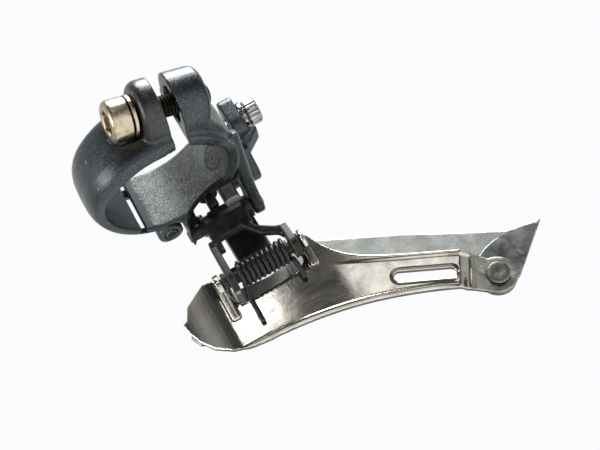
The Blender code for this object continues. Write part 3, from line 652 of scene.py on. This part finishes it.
def return_spring():
    """Torsion spring wound from round wire, its legs bearing on the cage and the link."""
    py, pz = LOWER_PIVOT
    total = COIL_TURNS * COIL_STEPS
    coil = []
    for i in range(total + 1):
        a = math.radians(COIL_START + 360.0 * i / COIL_STEPS)
        x = COIL_X[1] + (COIL_X[0] - COIL_X[1]) * i / total
        coil.append((x, py + COIL_R * math.cos(a), pz + COIL_R * math.sin(a)))
    front, back = coil[0][0], coil[-1][0]
    on_plate = INNER_Y + SHEET
    lead = [(front + 0.4, on_plate + 1.3, -38.6), (front + 0.36, py - 3.8, pz - 7.0),
            (front + 0.3, py - 3.3, pz - 4.6), (front + 0.15, py - 1.9, pz - 3.3)]
    tail = [(back - 0.2, py - 0.8, pz - 3.5), (back - 0.4, py - 1.6, pz - 4.6),
            (back - 0.5, on_plate + 1.2, pz - 7.0)]
    curve = bpy.data.curves.new("return_spring_wire", "CURVE")
    curve.dimensions = "3D"
    curve.bevel_depth = WIRE_R * MM
    curve.bevel_resolution = 5
    curve.use_fill_caps = True
    spline = curve.splines.new("POLY")
    path = lead + coil + tail
    spline.points.add(len(path) - 1)
    for point, p in zip(spline.points, path):
        point.co = (p[0] * MM, p[1] * MM, p[2] * MM, 1.0)
    obj = bpy.data.objects.new("return_spring_wire", curve)
    bpy.context.scene.collection.objects.link(obj)
    graph = bpy.context.evaluated_depsgraph_get()
    mesh = bpy.data.meshes.new_from_object(obj.evaluated_get(graph), depsgraph=graph)
    bpy.data.objects.remove(obj)
    mesh.materials.clear()
    mesh.shade_smooth()
    show("return_spring_wire", mesh, [SPRING_BLACK], "cage", "return_spring")


def tail_rivet():
    """Flat-faced rivet with a rolled shoulder and a shallow centre dimple."""
    low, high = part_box("tail_rivet")
    near, far = high.y / MM, low.y / MM
    profile = [(far, 2.2), (far + 0.3, 2.75), (far + 0.9, 2.9), (far + 1.0, 2.1), (near - 1.0, 2.1),
               (near - 0.9, 2.75), (near - 0.45, 2.88), (near - 0.15, 2.75), (near - 0.02, 2.4),
               (near, 1.9), (near - 0.06, 1.2), (near - 0.22, 0.5)]
    bm = lathe((RIVET[0], 0, RIVET[1]), (0, 1, 0), profile, 72)
    mesh = smooth_mesh(bm, "tail_rivet_turned")
    show("tail_rivet_turned", mesh, [RIVET_STEEL], "cage", "tail_rivet")


def build():
    """Every visible piece, each in place of its CAD node."""
    soft_edged("clamp_body", "base", [PAINT, BORE], 0.3, 7, clamp_faces)
    soft_edged("clamp_band", "band", [PAINT], 0.3, 7)
    soft_edged("outer_link", "outer_arm", [PAINT, OLIVE], 0.28, 6, outer_link_faces)
    soft_edged("inner_link", "inner_arm", [OLIVE], 0.22, 3)
    soft_edged("cage_inner_plate", "cage", [NICKEL, TAIL_WORN, EDGE_SPECKLE_AND_SHADE], 0.26, 3,
               inner_plate_faces, inner_plate_press)
    soft_edged("cage_outer_plate", "cage", [DULL, FIN_WORN, EDGE_SPECKLE_AND_SHADE], 0.28, 3,
               outer_plate_faces)
    clamp_bolt()
    cable_bolt()
    return_spring()
    tail_rivet()
    # node, body, material, slot, width of its broken edges
    plain = (
        ("clamp_washer", "bolt", ZINC, "zinc_steel", 0.15),
        ("cable_washer", "anchor", BRIGHT, "bright_steel", 0.15),
        ("clamp_insert", "base", RIVET_STEEL, "pin_steel", 0.2),
        ("band_hinge_pin", "base", BLACK, "pin_steel", 0.25),
        ("outer_upper_pin", "base", BLACK, "pin_steel", 0.2),
        ("inner_upper_pin", "base", BLACK, "pin_steel", 0.2),
        ("outer_upper_shim", "base", BLACK, "pin_steel", 0.06),
        ("outer_lower_pin", "cage", BLACK, "pin_steel", 0.2),
        ("inner_lower_pin", "cage", BLACK, "pin_steel", 0.2),
        ("outer_lower_shim", "cage", BLACK, "pin_steel", 0.06),
        ("inner_lower_front_shim", "cage", BLACK, "pin_steel", 0.1),
        ("inner_lower_rear_shim", "cage", BLACK, "pin_steel", 0.05),
        ("spring_sleeve", "cage", NYLON, "black_nylon", 0.04),
        ("front_rivet", "cage", RIVET_STEEL, "pin_steel", 0.15),
        ("low_limit_screw", "low_screw", BLACK, "link_steel", 0.12),
        ("high_limit_screw", "high_screw", BLACK, "link_steel", 0.12),
    )
    for node, body, mat, slot, width in plain:
        show(node + "_fine", crisp(node, node + "_fine", width), [mat], body, node)


# ---------------------------------------------------------------- studio

CAMERA_AT = Vector((2.5, 181.7, -120.9)) * MM
CAMERA_BACK = Vector((0.118, 0.893, -0.434)).normalized()
CAMERA_UP = Vector((-0.480, 0.434, 0.763)).normalized()
LENS = 54.0
SENSOR = 36.0
CENTRE = Vector((-25.0, -18.0, -14.0)) * MM
NOSE = Vector((-1.1, -26.2, -36.6)) * MM
PLATE = Vector((-48.0, -26.2, -49.0)) * MM
FLOOR_Z = -0.26             # metres
FLOOR_HALF = 6.0            # metres
# name, point lit, direction it stands in, distance, width and height (metres), power (watts)
LIGHTS = (
    ("key", CENTRE, (-0.3, 0.3, 0.9), 0.55, (0.45, 0.34), 7.5),
    ("side", CENTRE, (0.95, 0.35, 0.1), 0.6, (0.25, 0.35), 1.6),
    ("window", NOSE, (-0.016, 0.924, 0.383), 0.6, (0.056, 0.017), 0.045),
    ("card", PLATE, (-0.235, 0.92, 0.3), 0.6, (0.12, 0.16), 0.085),
)
DARK_SIDE = Vector((-0.12, 0.92, 0.34)).normalized()
BRIGHT_TO_DARK = (0.2, 0.985)       # cosines to the dark side between which the room darkens
ROOM_BRIGHT = 0.72
ROOM_DARK = 0.06


def camera():
    """Camera below the part on its non-drive side, looking up."""
    right = CAMERA_UP.cross(CAMERA_BACK).normalized()
    up = CAMERA_BACK.cross(right)
    data = bpy.data.cameras.new("camera")
    data.lens = LENS
    data.sensor_width = SENSOR
    data.clip_start = 0.01
    obj = bpy.data.objects.new("camera", data)
    turn = Matrix((right, up, CAMERA_BACK)).transposed().to_4x4()
    obj.matrix_world = Matrix.Translation(CAMERA_AT) @ turn
    bpy.context.scene.collection.objects.link(obj)
    bpy.context.scene.camera = obj


def area_light(name, aim, direction, distance, size, power):
    """Soft rectangular light facing aim, unseen by the camera."""
    data = bpy.data.lights.new(name, "AREA")
    data.shape = "RECTANGLE"
    data.size, data.size_y = size
    data.energy = power
    obj = bpy.data.objects.new(name, data)
    direction = Vector(direction).normalized()
    obj.location = aim + direction * distance
    obj.rotation_mode = "QUATERNION"
    obj.rotation_quaternion = direction.to_track_quat("Z", "Y")
    obj.visible_camera = False
    bpy.context.scene.collection.objects.link(obj)


def floor():
    """Wide pale floor below the part."""
    mesh = bpy.data.meshes.new("studio_floor")
    turns = ((-1, -1), (1, -1), (1, 1), (-1, 1))
    corners = [(x * FLOOR_HALF, y * FLOOR_HALF, FLOOR_Z) for x, y in turns]
    mesh.from_pydata(corners, [], [(0, 1, 2, 3)])
    obj = bpy.data.objects.new("studio_floor", mesh)
    bpy.context.scene.collection.objects.link(obj)
    mat = bpy.data.materials.new("studio_floor")
    mat.use_nodes = True
    bsdf = mat.node_tree.nodes["Principled BSDF"]
    bsdf.inputs["Base Color"].default_value = (0.86, 0.865, 0.87, 1.0)
    bsdf.inputs["Roughness"].default_value = 0.9
    mesh.materials.append(mat)


def world():
    """White surround for the camera; the light it gives falls off towards the dark side."""
    made = bpy.data.worlds.new("studio")
    made.use_nodes = True
    tree = made.node_tree
    tree.nodes.clear()
    coords = tree.nodes.new("ShaderNodeTexCoord")
    dot = tree.nodes.new("ShaderNodeVectorMath")
    dot.operation = "DOT_PRODUCT"
    dot.inputs[1].default_value = DARK_SIDE
    tree.links.new(coords.outputs["Generated"], dot.inputs[0])
    ramp = tree.nodes.new("ShaderNodeMapRange")
    ramp.interpolation_type = "SMOOTHSTEP"
    ramp.inputs["From Min"].default_value = BRIGHT_TO_DARK[0]
    ramp.inputs["From Max"].default_value = BRIGHT_TO_DARK[1]
    ramp.inputs["To Min"].default_value = ROOM_BRIGHT
    ramp.inputs["To Max"].default_value = ROOM_DARK
    tree.links.new(dot.outputs["Value"], ramp.inputs["Value"])
    light = tree.nodes.new("ShaderNodeBackground")
    tree.links.new(ramp.outputs["Result"], light.inputs["Strength"])
    light.inputs["Color"].default_value = (0.97, 0.985, 1.0, 1.0)
    seen = tree.nodes.new("ShaderNodeBackground")
    seen.inputs["Color"].default_value = (0.965, 0.97, 0.98, 1.0)
    path = tree.nodes.new("ShaderNodeLightPath")
    mix = tree.nodes.new("ShaderNodeMixShader")
    out = tree.nodes.new("ShaderNodeOutputWorld")
    tree.links.new(path.outputs["Is Camera Ray"], mix.inputs["Fac"])
    tree.links.new(light.outputs[0], mix.inputs[1])
    tree.links.new(seen.outputs[0], mix.inputs[2])
    tree.links.new(mix.outputs[0], out.inputs["Surface"])
    bpy.context.scene.world = made


build()
floor()
world()
camera()
for light in LIGHTS:
    area_light(*light)
bpy.context.scene.view_settings.view_transform = "Standard"
